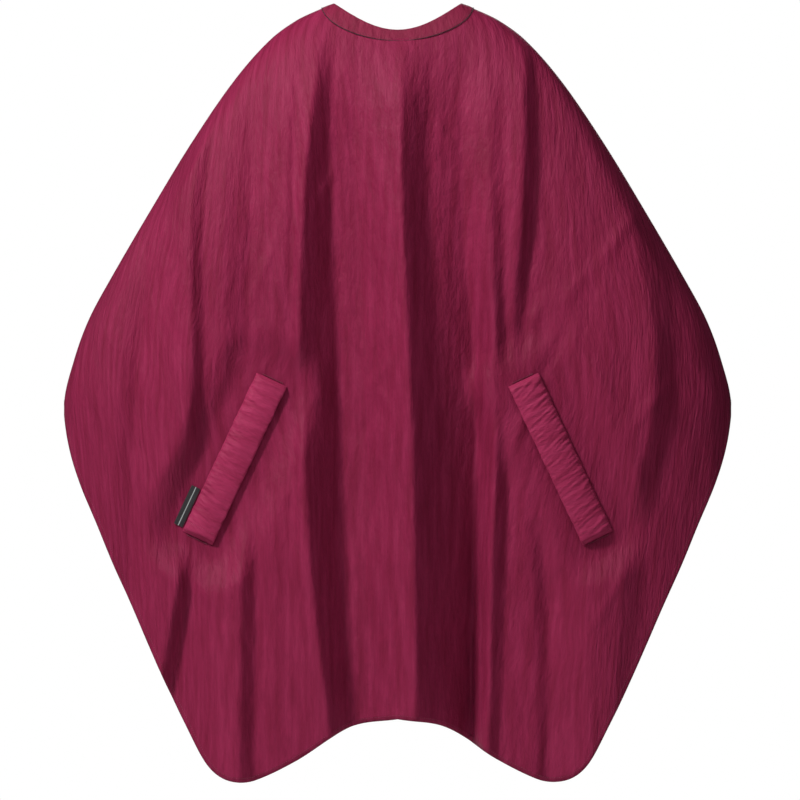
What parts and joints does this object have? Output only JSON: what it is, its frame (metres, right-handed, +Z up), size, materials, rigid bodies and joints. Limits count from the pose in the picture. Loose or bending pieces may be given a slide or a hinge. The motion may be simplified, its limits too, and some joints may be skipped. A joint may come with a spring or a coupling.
{
  "type": "barber cape",
  "caption": "Wide cloth barber cape hanging from a snap-closed neckband, with long folds, a curved hem and two slanted gathered hand slots on the front.",
  "frame": {"origin": "centre of the neck opening, at the level of the neck's sides", "axes": "+Z up as worn, the front faces -Y, +X to the viewer's right in a front view"},
  "size_m": [1.002, 0.2729, 1.1649],
  "materials": {
    "cape_cloth": "light crinkled polyester taffeta with fine upright slubs and a soft sheen",
    "band_cloth": "the same polyester, folded and topstitched",
    "thread": "satin polyester thread",
    "elastic": "ribbed woven elastic",
    "label_cloth": "plain black woven satin, with no lettering",
    "snap_plastic": "moulded acetal, softly glossy",
    "interfacing": "pressed non-woven"
  },
  "bodies": {
    "root": {"cape_front": "cape_cloth", "left_slot_panel": "cape_cloth", "right_slot_panel": "cape_cloth", "left_side_panel": "cape_cloth", "right_side_panel": "cape_cloth", "neckband_front": "band_cloth", "left_slot_facing": "band_cloth", "right_slot_facing": "band_cloth", "left_welt_tacks": "thread", "right_welt_tacks": "thread"},
    "back_left": {"left_back_panel": "cape_cloth", "neckband_left": "band_cloth"},
    "back_right": {"right_back_panel": "cape_cloth", "neckband_right": "band_cloth", "snap_studs": "snap_plastic", "stud_backs": "snap_plastic"},
    "tab": {"neck_tab": "band_cloth", "tab_interfacing": "interfacing", "snap_caps": "snap_plastic", "snap_sockets": "snap_plastic"},
    "welt_left": {"left_welt": "cape_cloth", "left_welt_elastic": "elastic"},
    "welt_right": {"right_welt": "cape_cloth", "right_welt_elastic": "elastic"},
    "label": {"side_label": "label_cloth"}
  },
  "joints": [
    {"name": "back_left_swing", "type": "hinge", "parent": "root", "child": "back_left", "pos_m": [-0.07, 0.0304, -0.0185], "axis": [0.4117, -0.126, 0.9026], "range_deg": [0, 110]},
    {"name": "back_right_swing", "type": "hinge", "parent": "root", "child": "back_right", "pos_m": [0.07, 0.0304, -0.0185], "axis": [0.4117, 0.126, -0.9026], "range_deg": [0, 110]},
    {"name": "neck_tab_open", "type": "hinge", "parent": "back_left", "child": "tab", "pos_m": [-0.006, 0.04548, -0.054], "axis": [0, -0.0785, 0.9969], "range_deg": [0, 90]},
    {"name": "left_welt_lift", "type": "hinge", "parent": "root", "child": "welt_left", "pos_m": [-0.26562, -0.10249, -0.67136], "axis": [-0.4257, 0.0235, -0.9046], "range_deg": [0, 35]},
    {"name": "right_welt_lift", "type": "hinge", "parent": "root", "child": "welt_right", "pos_m": [0.26562, -0.10249, -0.67136], "axis": [-0.4257, -0.0235, 0.9046], "range_deg": [0, 35]},
    {"name": "side_label_flip", "type": "hinge", "parent": "root", "child": "label", "pos_m": [-0.30782, -0.10057, -0.75539], "axis": [0.4255, -0.0395, 0.9041], "range_deg": [0, 80], "stiffness_Nm_per_rad": 0.0005}
  ],
  "couplings": [
    {"joint": "back_right_swing", "follows": "back_left_swing", "ratio": 1}
  ]
}
